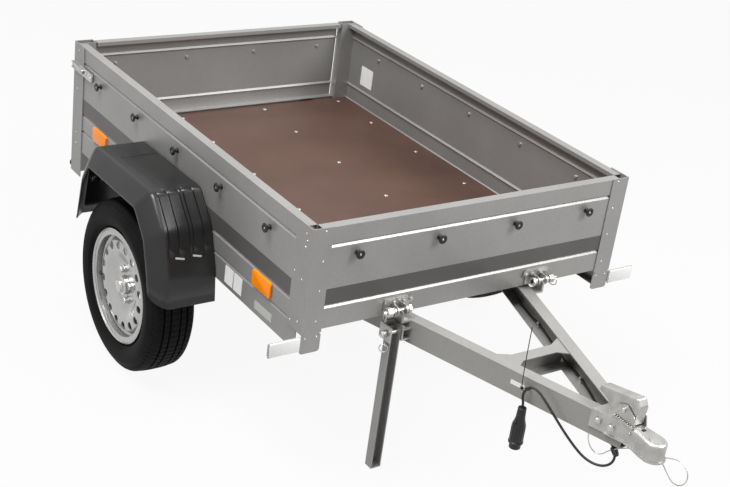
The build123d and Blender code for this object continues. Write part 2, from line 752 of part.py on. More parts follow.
for name, points, r in (("main_cable", arm_cable, cable_r), ("safety_wire", loop_wire, wire_r)):
    radii = cord_radii(points)
    with BuildPart() as cord:
        with BuildLine():
            path = FilletPolyline(*points, radius=radii)
        with BuildSketch(Plane(path @ 0, z_dir=path % 0)):
            Circle(r)
        sweep()
    length = path.length
    print(name, "length", round(length), "volume / section x length",
          round(cord.part.volume / (pi * r * r * length), 4), "radii", [round(q) for q in radii])
    save(cord, name)

with BuildPart() as plug:
    with BuildSketch(Plane.XZ.offset(809)):
        with BuildLine():
            Polyline((-124, 404), (-113, 404), (-110, 372), (-107, 356), (-104, 350), (-104, 300), (-108, 296),
                     (-108, 276), (-124, 276), close=True)
        make_face()
    revolve(axis=Axis((-124, -809, 0), (0, 0, 1)))
save(plug, "plug")
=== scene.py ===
import json
import math

import bmesh
import bpy
from mathutils import Matrix, Vector


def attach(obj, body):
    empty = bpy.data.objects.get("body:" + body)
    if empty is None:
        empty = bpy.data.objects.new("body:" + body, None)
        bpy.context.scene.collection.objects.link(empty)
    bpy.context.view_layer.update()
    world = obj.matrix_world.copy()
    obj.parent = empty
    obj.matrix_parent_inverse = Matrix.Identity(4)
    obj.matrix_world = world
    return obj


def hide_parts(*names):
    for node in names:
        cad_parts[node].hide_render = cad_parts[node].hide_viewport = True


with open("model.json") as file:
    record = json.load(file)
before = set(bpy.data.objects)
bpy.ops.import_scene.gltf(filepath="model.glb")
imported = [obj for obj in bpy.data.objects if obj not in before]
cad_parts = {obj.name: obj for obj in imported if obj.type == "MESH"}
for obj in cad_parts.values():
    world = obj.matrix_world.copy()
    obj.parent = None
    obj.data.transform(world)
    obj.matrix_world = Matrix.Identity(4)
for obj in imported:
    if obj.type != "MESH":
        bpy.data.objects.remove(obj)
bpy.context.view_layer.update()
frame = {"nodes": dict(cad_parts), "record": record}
print("frame loaded:", len(frame["nodes"]), "nodes")

cameraView = {
    "place": (-2.4031, -3.0416, 2.3251),
    "right": (0.8259, -0.5495, 0.1231),
    "up": (0.1480, 0.4226, 0.8935),
    "lensMm": 68.09,
    "sensorMm": 36.0,
}


def makeCamera():
    data = bpy.data.cameras.new("camera")
    data.lens = cameraView["lensMm"]
    data.sensor_width = cameraView["sensorMm"]
    data.sensor_fit = "HORIZONTAL"
    camera = bpy.data.objects.new("camera", data)
    bpy.context.scene.collection.objects.link(camera)
    right = Vector(cameraView["right"]).normalized()
    up = Vector(cameraView["up"])
    up = (up - right * up.dot(right)).normalized()
    turn = Matrix((right, up, right.cross(up))).transposed().to_4x4()
    turn.translation = Vector(cameraView["place"])
    camera.matrix_world = turn
    bpy.context.scene.camera = camera
    bpy.context.scene.view_settings.view_transform = "Standard"


makeCamera()


def srgb(hexText):
    # sRGB hex to the linear values that shaders take
    parts = [int(hexText[i:i + 2], 16) / 255 for i in (1, 3, 5)]
    return tuple(c / 12.92 if c <= 0.04045 else ((c + 0.055) / 1.055) ** 2.4 for c in parts) + (1,)


def shade(hexText, factor):
    # the same colour, darker or paler
    return (*(Vector(srgb(hexText)[:3]) * factor), 1)


def addNode(tree, kind, settings=None, links=None):
    # one shader node with its settings, a ramp's two stops among them, and the sockets that feed it
    node = tree.nodes.new("ShaderNode" + kind)
    for key, value in (settings or {}).items():
        if key == "stops":
            for stop, (position, colour) in zip(node.color_ramp.elements, value):
                stop.position, stop.color = position, colour
        elif isinstance(key, str) and hasattr(node, key):
            setattr(node, key, value)
        else:
            node.inputs[key].default_value = value
    for key, socket in (links or {}).items():
        tree.links.new(socket, node.inputs[key])
    return node


def startMaterial(name, sockets):
    material = bpy.data.materials.new(name)
    material.use_nodes = True
    tree = material.node_tree
    shader = tree.nodes["Principled BSDF"]
    for key, value in sockets.items():
        shader.inputs[key].default_value = value
    where = addNode(tree, "TexCoord").outputs["Object"]
    return material, tree, shader, where


def wireFinish(tree, shader, colour, height, depthM, strength):
    # the colour and a relief this deep go into the shader
    tree.links.new(colour, shader.inputs["Base Color"])
    bump = addNode(tree, "Bump", {"Strength": strength, "Distance": depthM}, {"Height": height})
    tree.links.new(bump.outputs["Normal"], shader.inputs["Normal"])


def standAt(place, out=(0, 0, 1), along=(1, 0, 0)):
    # a matrix whose z axis points out and whose x axis lies near along
    z = Vector(out).normalized()
    x = Vector(along)
    if abs(x.normalized().dot(z)) > 0.99:  # nearly in line with out, so y stands in
        x = Vector((0, 1, 0))
    x = (x - z * x.dot(z)).normalized()
    turn = Matrix((x, z.cross(x), z)).transposed().to_4x4()
    turn.translation = Vector(place)
    return turn


def join(target, part, matrix=None):
    # puts a finished part into the target bmesh at its place
    if matrix is not None:
        bmesh.ops.transform(part, matrix=matrix, verts=part.verts)
    scratch = bpy.data.meshes.new("scratch")
    part.to_mesh(scratch)
    part.free()
    target.from_mesh(scratch)
    bpy.data.meshes.remove(scratch)


def lathe(profile, segments=32):
    # (radius, height) points turned about z
    part = bmesh.new()
    points = [part.verts.new((r, 0, z)) for r, z in profile]
    lines = [part.edges.new(pair) for pair in zip(points, points[1:])]
    bmesh.ops.spin(part, geom=points + lines, cent=(0, 0, 0), axis=(0, 0, 1), angle=math.tau,
                   steps=segments, use_merge=True)
    bmesh.ops.remove_doubles(part, verts=part.verts, dist=1e-6)
    bmesh.ops.recalc_face_normals(part, faces=part.faces)
    return part


def soften(part, edges, offset, segments=2):
    bmesh.ops.bevel(part, geom=edges, offset=offset, segments=segments, affect="EDGES",
                    profile=0.5, material=-1, clamp_overlap=True)


def slab(outline, thick, soft=0.0, segments=2):
    # a flat outline in x and y, thickened along z, its edges softened
    part = bmesh.new()
    face = part.faces.new([part.verts.new((x, y, 0)) for x, y in outline])
    grown = bmesh.ops.extrude_face_region(part, geom=[face])
    moved = [v for v in grown["geom"] if isinstance(v, bmesh.types.BMVert)]
    bmesh.ops.translate(part, vec=(0, 0, thick), verts=moved)
    bmesh.ops.recalc_face_normals(part, faces=part.faces)
    if soft:
        rims = [e for e in part.edges if abs(e.verts[0].co.z - e.verts[1].co.z) < thick * 0.1]
        soften(part, rims, soft, segments)
    return part


def block(size, soft):
    part = bmesh.new()
    bmesh.ops.create_cube(part, size=1, matrix=Matrix.Diagonal((*size, 1)))
    soften(part, part.edges[:], soft)
    return part


def roundedOutline(width, height, radius, steps=5):
    outline = []
    for cx, cy, first in ((1, 1, 0), (-1, 1, 90), (-1, -1, 180), (1, -1, 270)):
        for i in range(steps + 1):
            a = math.radians(first + 90 * i / steps)
            outline.append((cx * (width / 2 - radius) + radius * math.cos(a),
                            cy * (height / 2 - radius) + radius * math.sin(a)))
    return outline


def hexHead(across, thick):
    # a bolt head or nut: six sides with a small chamfer on top
    part = bmesh.new()
    corner = across / 1.732  # from the middle to a corner of a hexagon so wide across its flats
    bmesh.ops.create_cone(part, cap_ends=True, segments=6, radius1=corner, radius2=corner, depth=thick,
                          matrix=Matrix.Translation((0, 0, thick / 2)))
    topEdges = [e for e in part.edges if all(v.co.z > thick * 0.9 for v in e.verts)]
    soften(part, topEdges, thick * 0.14)
    return part


def rivetHead(radius, high):
    # a low dome with its foot just under z = 0
    steps, foot = 4, -0.0003
    turns = [math.radians(90 * i / steps) for i in range(steps)]
    arc = [(radius * math.cos(a), high * math.sin(a)) for a in turns]
    return lathe([(0, foot), (radius, foot), *arc, (0, high)], 14)


def washer(radius, hole, thick):
    return lathe([(hole, 0), (radius, 0), (radius, thick), (hole, thick), (hole, 0)], 24)


def bentRod(points, radius, segments=8, closed=False):
    # a round wire through the points
    part = bmesh.new()
    rings = []
    count = len(points)
    across = (0.123, 0.456, 0.881)  # a direction that no rod here runs along
    for i, p in enumerate(points):
        before = Vector(points[i - 1] if i or closed else points[0])
        after = Vector(points[(i + 1) % count] if i < count - 1 or closed else points[-1])
        place = standAt(p, after - before, across)
        made = bmesh.ops.create_circle(part, segments=segments, radius=radius, matrix=place, cap_ends=False)
        ring = set(made["verts"])
        rings.append([e for e in part.edges if e.verts[0] in ring and e.verts[1] in ring])
    pairs = list(zip(rings, rings[1:])) + ([(rings[-1], rings[0])] if closed else [])
    for a, b in pairs:
        bmesh.ops.bridge_loops(part, edges=a + b)
    if not closed:
        bmesh.ops.holes_fill(part, edges=[e for e in part.edges if e.is_boundary], sides=0)
    bmesh.ops.recalc_face_normals(part, faces=part.faces)
    return part


def wireRing(centre, radius, out, count=20):
    # a closed ring of thin wire that faces out
    wireR, sides = 0.0016, 6
    place = standAt(centre, out)
    turns = [math.tau * i / count for i in range(count)]
    points = [tuple(place @ Vector((radius * math.cos(a), radius * math.sin(a), 0))) for a in turns]
    return bentRod(points, wireR, sides, closed=True)


def finishPiece(part, name, body, material, sharp=35, replaces=()):
    mesh = bpy.data.meshes.new(name)
    part.to_mesh(mesh)
    part.free()
    mesh.polygons.foreach_set("use_smooth", [True] * len(mesh.polygons))
    mesh.set_sharp_from_angle(angle=math.radians(sharp))
    mesh.materials.append(material)
    piece = bpy.data.objects.new(name, mesh)
    bpy.context.scene.collection.objects.link(piece)
    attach(piece, body)
    if replaces:
        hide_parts(*replaces)
    return piece


def hotDipGalvanisedSheet(name="hotDipGalvanisedSheet", tone="#8f8e8c", roughness=0.42, metallic=0.5):
    # zinc from the bath: satin grey, faint crystals about 8 mm wide, no mirror
    material, tree, shader, where = startMaterial(name, {"Metallic": metallic, "Roughness": roughness})
    crystals = addNode(tree, "TexVoronoi", {"Scale": 1 / 0.008, "feature": "F1"}, {"Vector": where})
    clouds = addNode(tree, "TexNoise", {"Scale": 4.0, "Detail": 3.0}, {"Vector": where})
    crystalTone = addNode(tree, "ValToRGB", {"stops": [(0.0, shade(tone, 0.965)), (1.0, shade(tone, 1.03))]},
                          {"Fac": crystals.outputs["Color"]})
    cloudTone = addNode(tree, "ValToRGB",
                        {"stops": [(0.3, (0.92, 0.92, 0.925, 1)), (0.7, (1.04, 1.04, 1.04, 1))]},
                        {"Fac": clouds.outputs["Fac"]})
    mixed = addNode(tree, "Mix", {"data_type": "RGBA", "blend_type": "MULTIPLY", 0: 1.0})
    tree.links.new(crystalTone.outputs["Color"], mixed.inputs[6])
    tree.links.new(cloudTone.outputs["Color"], mixed.inputs[7])
    fine = addNode(tree, "TexNoise", {"Scale": 1 / 0.004, "Detail": 2.0}, {"Vector": where})
    wireFinish(tree, shader, mixed.outputs[2], fine.outputs["Fac"], 0.00003, 0.4)
    return material


def cloudyFinish(name, sockets, clouds, tones, grainM, depthM, strength):
    # a tone that drifts in soft clouds, over a grain this wide and deep
    material, tree, shader, where = startMaterial(name, sockets)
    cloud = addNode(tree, "TexNoise", clouds, {"Vector": where})
    tone = addNode(tree, "ValToRGB", {"stops": tones}, {"Fac": cloud.outputs["Fac"]})
    grain = addNode(tree, "TexNoise", {"Scale": 1 / grainM, "Detail": 2.0}, {"Vector": where})
    wireFinish(tree, shader, tone.outputs["Color"], grain.outputs["Fac"], depthM, strength)
    return material


def brightZincPlate(name="brightZincPlate", dark="#a5a5a3", light="#c6c5c2", roughness=0.3):
    # electroplated bolts and pressings: a bright plain grey, a little uneven
    return cloudyFinish(name, {"Metallic": 0.8, "Roughness": roughness}, {"Scale": 1 / 0.025, "Detail": 2.0},
                        [(0.3, srgb(dark)), (0.7, srgb(light))], 0.003, 0.00005, 0.3)


def filmFacedPlywood():
    # birch plywood under a brown phenolic film: satin, with a faint wire-mesh print 4 mm apart
    material, tree, shader, where = startMaterial(
        "filmFacedPlywood", {"Roughness": 0.42, "Specular IOR Level": 0.25})
    cloud = addNode(tree, "TexNoise", {"Scale": 3.5, "Detail": 5.0, "Roughness": 0.6}, {"Vector": where})
    tone = addNode(tree, "ValToRGB", {"stops": [(0.25, srgb("#42302a")), (0.75, srgb("#523c33"))]},
                   {"Fac": cloud.outputs["Fac"]})
    spots = addNode(tree, "TexVoronoi", {"Scale": 1 / 0.004, "Randomness": 0.15}, {"Vector": where})
    wireFinish(tree, shader, tone.outputs["Color"], spots.outputs["Distance"], 0.0001, 0.5)
    return material


def mouldedPlastic(name, tone, roughness):
    # injection-moulded black plastic with a spark grain, drawn 1.6 mm coarse so that it shows
    return cloudyFinish(name, {"Roughness": roughness, "Specular IOR Level": 0.42},
                        {"Scale": 9.0, "Detail": 2.0}, [(0.3, shade(tone, 0.85)), (0.7, shade(tone, 1.15))],
                        0.0016, 0.00008, 0.5)


def vulcanisedRubber():
    # tyre compound: near black, dull, a little paler in clouds of dust, its grain drawn 2 mm coarse
    return cloudyFinish("vulcanisedRubber", {"Roughness": 0.62, "Specular IOR Level": 0.08},
                        {"Scale": 14.0, "Detail": 5.0}, [(0.3, srgb("#090909")), (0.75, srgb("#131313"))],
                        0.002, 0.00006, 0.5)


def silverWheelEnamel():
    # metallic silver paint on pressed steel: smooth with a soft gloss, its flakes drawn 1.5 mm wide
    material, tree, shader, where = startMaterial(
        "silverWheelEnamel", {"Metallic": 0.8, "Roughness": 0.25, "Coat Weight": 0.1, "Coat Roughness": 0.15})
    flake = addNode(tree, "TexVoronoi", {"Scale": 1 / 0.0015}, {"Vector": where})
    tone = addNode(tree, "ValToRGB", {"stops": [(0.0, srgb("#a3a3a2")), (1.0, srgb("#b6b6b5"))]},
                   {"Fac": flake.outputs["Color"]})
    tree.links.new(tone.outputs["Color"], shader.inputs["Base Color"])
    return material


def prismLens(name, light, dark, roughness=0.18):
    # moulded acrylic over a prism field: cells about 3 mm apart under a clear skin
    material, tree, shader, where = startMaterial(
        name, {"Roughness": roughness, "Specular IOR Level": 0.15, "Coat Weight": 0.04,
               "Coat Roughness": 0.05})
    cells = addNode(tree, "TexVoronoi", {"Scale": 1 / 0.0032, "Randomness": 0.0}, {"Vector": where})
    tone = addNode(tree, "ValToRGB", {"stops": [(0.1, srgb(light)), (0.75, srgb(dark))]},
                   {"Fac": cells.outputs["Distance"]})
    wireFinish(tree, shader, tone.outputs["Color"], cells.outputs["Distance"], 0.0004, 0.4)
    return material


def vinylFoil(name, tone):
    # stuck-on foil: even colour, low gloss, a trace of the sheet's unevenness
    return cloudyFinish(name, {"Roughness": 0.4}, {"Scale": 7.0, "Detail": 2.0},
                        [(0.3, shade(tone, 0.93)), (0.7, shade(tone, 1.06))], 0.006, 0.00003, 0.4)


galvanised = hotDipGalvanisedSheet()
armGalvanised = hotDipGalvanisedSheet("hotDipGalvanisedChannel", "#8b8a87", 0.4, 0.2)
zinc = brightZincPlate()
couplingZinc = brightZincPlate("dullZincPressing", "#a3a29f", "#b4b3b0", 0.38)
plywood = filmFacedPlywood()
blackPlastic = mouldedPlastic("mouldedPolypropylene", "#171717", 0.3)
knobPlastic = mouldedPlastic("mouldedNylon", "#101010", 0.35)
rubber = vulcanisedRubber()
wheelPaint = silverWheelEnamel()
amber = prismLens("amberLens", "#ff9400", "#ef7a00")
silvered = prismLens("silveredReflector", "#e0e0de", "#cbcbc9", 0.22)
red = prismLens("redLens", "#c01a16", "#8e0c0c", 0.15)
darkFoil = vinylFoil("darkGreyVinyl", "#454443")
whiteFoil = vinylFoil("whitePolyesterLabel", "#dcdcda")
# its pale grey also fills the guard's slots, as painted light showing through them
greyFoilAndSlotLight = vinylFoil("greyPolyesterLabelAndSlotLight", "#a9a9a6")
sheath = mouldedPlastic("softPvcSheath", "#121212", 0.5)

slotFinish = {
    "galvanised": galvanised, "zinc": zinc, "plywood": plywood, "black_plastic": blackPlastic,
    "black_rubber": rubber, "amber_lens": amber, "red_lens": red, "white_reflector": silvered,
    "tyre": rubber, "wheel_paint": wheelPaint, "cable_sheath": sheath, "steel_wire": zinc,
}
pressings = ("coupling_head", "coupling_lever", "lock_brackets", "lock_catches", "leg_bracket")
channels = ("drawbar_arm_left", "drawbar_arm_right", "cross_member")
nodeFinish = dict.fromkeys(pressings, couplingZinc) | dict.fromkeys(channels, armGalvanised)
for part in frame["record"]["subparts"]:
    node = frame["nodes"][part["node"]]
    node.data.materials.clear()
    node.data.materials.append(nodeFinish.get(part["node"], slotFinish[part["material_slot"]]))
print("finishes made")

studio = {
    "floorHalf": 30, "floorTone": "#9c9c9c", "floorGlow": 0.93, "worldLight": 0.40,
    "aim": (0, 0.1, 0.4),
    "lamps": [
        {"name": "keyLight", "place": (2.8, -3.9, 4.6), "size": 2.8, "watts": 385},
        {"name": "topLight", "place": (-1.9, -0.2, 4.75), "size": 2.8, "watts": 370},
        {"name": "sideLight", "place": (-5.0, -0.5, 2.6), "size": 2.5, "watts": 6},
    ],
}


def directRay(tree):
    # 1 where the camera, a reflection or a refraction looks straight at the backdrop
    light = addNode(tree, "LightPath")
    either = addNode(tree, "Math", {"operation": "MAXIMUM"},
                     {0: light.outputs["Is Camera Ray"], 1: light.outputs["Is Transmission Ray"]})
    return addNode(tree, "Math", {"operation": "MAXIMUM"},
                   {0: either.outputs[0], 1: light.outputs["Is Glossy Ray"]}).outputs[0]


def makeStage():
    part = bmesh.new()
    bmesh.ops.create_grid(part, x_segments=2, y_segments=2, size=studio["floorHalf"])
    mesh = bpy.data.meshes.new("studioFloor")
    part.to_mesh(mesh)
    part.free()
    floor = bpy.data.objects.new("studioFloor", mesh)
    bpy.context.scene.collection.objects.link(floor)
    material, tree, shader, _ = startMaterial(
        "paleStudioFloor", {"Base Color": srgb(studio["floorTone"]), "Roughness": 0.9})
    shine = addNode(tree, "Emission", {"Color": (1, 1, 1, 1), "Strength": 1.0})
    seen = addNode(tree, "Math", {"operation": "MULTIPLY", 1: studio["floorGlow"]}, {0: directRay(tree)})
    mixed = addNode(tree, "MixShader", {}, {0: seen.outputs[0], 1: shader.outputs[0], 2: shine.outputs[0]})
    tree.links.new(mixed.outputs[0], tree.nodes["Material Output"].inputs["Surface"])
    mesh.materials.append(material)

    world = bpy.data.worlds.new("studio")
    bpy.context.scene.world = world
    world.use_nodes = True
    tree = world.node_tree
    plain = tree.nodes["Background"]
    plain.inputs["Color"].default_value = (1, 1, 1, 1)
    plain.inputs["Strength"].default_value = studio["worldLight"]
    white = addNode(tree, "Background", {"Color": (1, 1, 1, 1), "Strength": 1.0})
    mixed = addNode(tree, "MixShader", {}, {0: directRay(tree), 1: plain.outputs[0], 2: white.outputs[0]})
    tree.links.new(mixed.outputs[0], tree.nodes["World Output"].inputs["Surface"])

    for lamp in studio["lamps"]:
        data = bpy.data.lights.new(lamp["name"], "AREA")
        data.size = lamp["size"]
        data.energy = lamp["watts"]
        light = bpy.data.objects.new(lamp["name"], data)
        bpy.context.scene.collection.objects.link(light)
        place = Vector(lamp["place"])
        light.matrix_world = standAt(place, place - Vector(studio["aim"]))


makeStage()
print("stage and lamps set")

# the routes are the control points of smooth lines, from where each cord leaves the object
mainCable = {
    "diameter": 0.007,
    "length": 1.274,
    "route": [
        (0.262, -0.262, 0.431), (0.236, -0.345, 0.424), (0.211, -0.428, 0.422), (0.187, -0.510, 0.430),
        (0.158, -0.600, 0.423), (0.130, -0.690, 0.421), (0.104, -0.775, 0.430), (0.078, -0.850, 0.425),
        (0.054, -0.905, 0.423), (0.026, -0.942, 0.425), (0.007, -0.966, 0.417), (-0.001, -0.996, 0.406),
        (-0.008, -1.034, 0.400), (-0.014, -1.061, 0.389), (-0.022, -1.066, 0.363), (-0.033, -1.049, 0.344),
        (-0.045, -1.022, 0.338), (-0.056, -0.991, 0.344), (-0.067, -0.960, 0.364), (-0.081, -0.931, 0.392),
        (-0.094, -0.901, 0.423), (-0.106, -0.870, 0.454), (-0.113, -0.848, 0.472), (-0.120, -0.824, 0.476),
        (-0.126, -0.808, 0.459), (-0.128, -0.804, 0.437), (-0.124, -0.809, 0.417), (-0.124, -0.809, 0.404),
    ],
}
safetyWire = {
    "diameter": 0.003,
    "length": 0.502,
    "route": [
        (-0.046, -0.985, 0.413), (-0.046, -0.985, 0.392), (-0.040, -1.004, 0.366), (-0.030, -1.026, 0.364),
        (-0.022, -1.044, 0.388), (-0.010, -1.068, 0.407), (0.010, -1.100, 0.421), (0.029, -1.138, 0.429),
        (0.031, -1.174, 0.422), (0.020, -1.208, 0.409), (0.008, -1.240, 0.405), (0.003, -1.270, 0.418),
        (0.001, -1.286, 0.445), (0.000, -1.280, 0.472), (0.000, -1.252, 0.483), (0.000, -1.222, 0.472),
        (0.000, -1.200, 0.460),
    ],
}


def makeCord(name, cord, material, node, body):
    data = bpy.data.curves.new(name, "CURVE")
    data.dimensions = "3D"
    spline = data.splines.new("NURBS")
    spline.points.add(len(cord["route"]) - 1)
    for point, place in zip(spline.points, cord["route"]):
        point.co = (*place, 1)
    spline.order_u = 3
    spline.use_endpoint_u = True
    spline.resolution_u = 8
    data.bevel_depth = cord["diameter"] / 2
    data.bevel_resolution = 4
    data.use_fill_caps = True
    data.materials.append(material)
    piece = bpy.data.objects.new(name, data)
    bpy.context.scene.collection.objects.link(piece)
    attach(piece, body)
    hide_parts(node)


loadBox = {
    "wallX": 0.562, "wall": 0.002, "postX": 0.565, "frontY": -0.377, "postFrontY": -0.380,
    "gateY": 1.167, "postRearY": 1.170, "floorZ": 0.502, "knobZ": 0.710,
    "knobSideY": [0.395 + 0.28 * i for i in range(-2, 3)],
    "knobEndX": [0.138 * i for i in (-3, -1, 1, 3)],
}
arms = {"halfSpread": 0.241, "slope": 0.314, "bottom": 0.413, "flange": 0.003}
bothSides = {"right": -1, "left": 1}


def armX(y):
    # outer face of a drawbar arm
    return arms["halfSpread"] + arms["slope"] * (y - loadBox["postFrontY"])


def sidePlace(side, y, z, x=loadBox["wallX"]):
    return standAt((side * x, y, z), (side, 0, 0), (0, 1, 0))


def frontPlace(x, z, y=loadBox["frontY"]):
    return standAt((x, y, z), (0, -1, 0), (1, 0, 0))


def rearPlace(x, z, y=loadBox["gateY"]):
    return standAt((x, y, z), (0, 1, 0), (-1, 0, 0))


def armPlace(side, y, z):
    # a spot on the outer face of an arm's web
    return standAt((side * armX(y), y, z), (side, -arms["slope"], 0), (side * arms["slope"], 1, 0))


# each patch is from, to, low and high on its wall, and the arm's label is y, z, width and height
foil = {
    "thick": 0.0006, "corner": 0.001, "cornerSteps": 3,
    "side": (-0.301, 1.091, 0.565, 0.617),
    "end": (-0.501, 0.501, 0.564, 0.612),
    "gate": (-0.494, 0.494, 0.564, 0.612),
    "whiteLabels": [(0.003, 0.051, 0.434, 0.489), (-0.049, -0.002, 0.434, 0.489)],
    "greyLabel": (-0.221, -0.125, 0.437, 0.463),
    "innerLabel": (0.981, 1.057, 0.583, 0.657),
    "armLabel": (-0.770, 0.451, 0.046, 0.013), "armCorner": 0.002,
}


def makeFoils():
    def near(y, z):
        return sidePlace(-1, y, z)

    def far(y, z):
        return sidePlace(1, y, z)

    def inner(y, z):
        return standAt((loadBox["wallX"] - loadBox["wall"], y, z), (-1, 0, 0), (0, 1, 0))

    labels = [(near, label) for label in foil["whiteLabels"]] + [(inner, foil["innerLabel"])]
    for name, body, material, patches in (
            ("bodyStripes", "box", darkFoil,
             [(near, foil["side"]), (far, foil["side"]), (frontPlace, foil["end"])]),
            ("gateStripe", "tailgate", darkFoil, [(rearPlace, foil["gate"])]),
            ("blankLabels", "box", whiteFoil, labels),
            ("greyLabel", "box", greyFoilAndSlotLight, [(near, foil["greyLabel"])])):
        part = bmesh.new()
        for placeAt, (a, b, low, high) in patches:
            outline = roundedOutline(b - a, high - low, foil["corner"], foil["cornerSteps"])
            join(part, slab(outline, foil["thick"]), placeAt((a + b) / 2, (low + high) / 2))
        finishPiece(part, name, body, material)
    part = bmesh.new()
    y, z, width, height = foil["armLabel"]
    join(part, slab(roundedOutline(width, height, foil["armCorner"]), foil["thick"]), armPlace(-1, y, z))
    finishPiece(part, "armLabel", "drawbar", whiteFoil)


fixings = {
    "rivetR": 0.0034, "rivetHigh": 0.0016,
    # (y, z) on the outer sides of the corner posts
    "sideRivets": [(-0.350, 0.776), (-0.356, 0.757), (-0.352, 0.738), (-0.312, 0.650), (-0.351, 0.512),
                   (-0.314, 0.500), (-0.350, 0.640), (1.137, 0.479), (1.134, 0.441), (1.137, 0.776),
                   (1.137, 0.640)],
    "frontPostX": 0.524, "rearPostX": 0.540, "postRivetZ": [0.790, 0.701, 0.612, 0.519],
    "footRivets": [(0.515, 0.470), (0.552, 0.470)],
    "floorBoltX": [-0.50, -0.17, 0.17, 0.50],
    "floorBoltY": [-0.29, 0.0, 0.29, 0.58, 0.87, 1.10],
    "boltR": 0.0075, "boltHigh": 0.0022, "nut": (0.011, 0.005),
}


def makeFixings():
    part = bmesh.new()
    spots = []
    front, rear = loadBox["postFrontY"], loadBox["postRearY"]
    for side in (-1, 1):
        spots += [sidePlace(side, y, z, loadBox["postX"]) for y, z in fixings["sideRivets"]]
        spots += [frontPlace(side * fixings["frontPostX"], z, front) for z in fixings["postRivetZ"]]
        spots += [rearPlace(side * fixings["rearPostX"], z, rear) for z in fixings["postRivetZ"]]
        spots += [frontPlace(side * x, z, front) for x, z in fixings["footRivets"]]
    for spot in spots:
        join(part, rivetHead(fixings["rivetR"], fixings["rivetHigh"]), spot)
    finishPiece(part, "postRivets", "box", zinc)

    # carriage heads through the plywood, and the knobs' nuts on the inside of the walls
    part = bmesh.new()
    for x in fixings["floorBoltX"]:
        for y in fixings["floorBoltY"]:
            join(part, rivetHead(fixings["boltR"], fixings["boltHigh"]), standAt((x, y, loadBox["floorZ"])))
    wall, z = loadBox["wall"], loadBox["knobZ"]
    for y in loadBox["knobSideY"]:
        for side in (-1, 1):
            inside = standAt((side * (loadBox["wallX"] - wall), y, z), (-side, 0, 0))
            join(part, hexHead(*fixings["nut"]), inside)
    for x in loadBox["knobEndX"]:
        join(part, hexHead(*fixings["nut"]), standAt((x, loadBox["frontY"] + wall, z), (0, 1, 0)))
    finishPiece(part, "floorBolts", "box", zinc)
    part = bmesh.new()
    for x in loadBox["knobEndX"]:
        join(part, hexHead(*fixings["nut"]), standAt((x, loadBox["gateY"] - wall, z), (0, -1, 0)))
    finishPiece(part, "gateNuts", "tailgate", zinc)


# cover knob: flared foot, waist, wide head with a sunk middle, and the pin's end in that middle
coverKnob = {
    "head": [(0, 0), (0.0085, 0), (0.0085, 0.0018), (0.0060, 0.0035), (0.0048, 0.0080), (0.0052, 0.0100),
             (0.0098, 0.0120), (0.0128, 0.0138), (0.0140, 0.0160), (0.0136, 0.0182), (0.0118, 0.0196),
             (0.0072, 0.0200), (0.0058, 0.0196), (0.0050, 0.0172), (0, 0.0168)],
    "headSteps": 28,
    "pin": [(0, 0.0160), (0.0038, 0.0160), (0.0038, 0.0176), (0.0030, 0.0184), (0, 0.0186)],
    "pinSteps": 14,
}


def makeKnobs():
    z = loadBox["knobZ"]
    wallSpots = [sidePlace(side, y, z) for side in (-1, 1) for y in loadBox["knobSideY"]]
    wallSpots += [frontPlace(x, z) for x in loadBox["knobEndX"]]
    gateSpots = [rearPlace(x, z) for x in loadBox["knobEndX"]]
    for body, spots, knobName, pinName, node in (
            ("box", wallSpots, "coverKnobs", "knobPins", "cover_knobs"),
            ("tailgate", gateSpots, "gateCoverKnobs", "gateKnobPins", "gate_knobs")):
        knobs, pins = bmesh.new(), bmesh.new()
        for spot in spots:
            join(knobs, lathe(coverKnob["head"], coverKnob["headSteps"]), spot)
            join(pins, lathe(coverKnob["pin"], coverKnob["pinSteps"]), spot)
        finishPiece(knobs, knobName, body, knobPlastic, replaces=[node])
        finishPiece(pins, pinName, body, zinc)


reflectors = {
    "sideY": [-0.157, 0.942], "sideZ": 0.531, "sideSize": (0.102, 0.050), "sideThick": 0.007,
    "sideCorner": 0.009, "sideSoft": 0.0018,
    "frontX": 0.617, "frontZ": 0.459, "frontSize": (0.100, 0.046), "frontThick": 0.006,
    "frontCorner": 0.003, "trayThick": 0.0022, "traySoft": 0.0006,
    "lensInset": 0.005, "lensLift": 0.001, "lensSoft": 0.001,
}


def makeReflectors():
    part = bmesh.new()
    outline = roundedOutline(*reflectors["sideSize"], reflectors["sideCorner"], 6)
    for side in (-1, 1):
        for y in reflectors["sideY"]:
            lens = slab(outline, reflectors["sideThick"], reflectors["sideSoft"], 3)
            join(part, lens, sidePlace(side, y, reflectors["sideZ"]))
    finishPiece(part, "sideReflectors", "box", amber, replaces=["side_reflectors"])
    lenses, trays = bmesh.new(), bmesh.new()
    width, height = reflectors["frontSize"]
    corner, inset, lift = reflectors["frontCorner"], reflectors["lensInset"], reflectors["lensLift"]
    for side in (-1, 1):
        place = frontPlace(side * reflectors["frontX"], reflectors["frontZ"], loadBox["postFrontY"])
        tray = slab(roundedOutline(width, height, corner, 3), reflectors["trayThick"], reflectors["traySoft"])
        join(trays, tray, place)
        lens = slab(roundedOutline(width - inset, height - inset, corner, 3),
                    reflectors["frontThick"] - lift, reflectors["lensSoft"])
        join(lenses, lens, place @ Matrix.Translation((0, 0, lift)))
    finishPiece(lenses, "frontReflectorLenses", "box", silvered,
                replaces=["front_reflectors"])
    finishPiece(trays, "frontReflectorTrays", "box", greyFoilAndSlotLight)


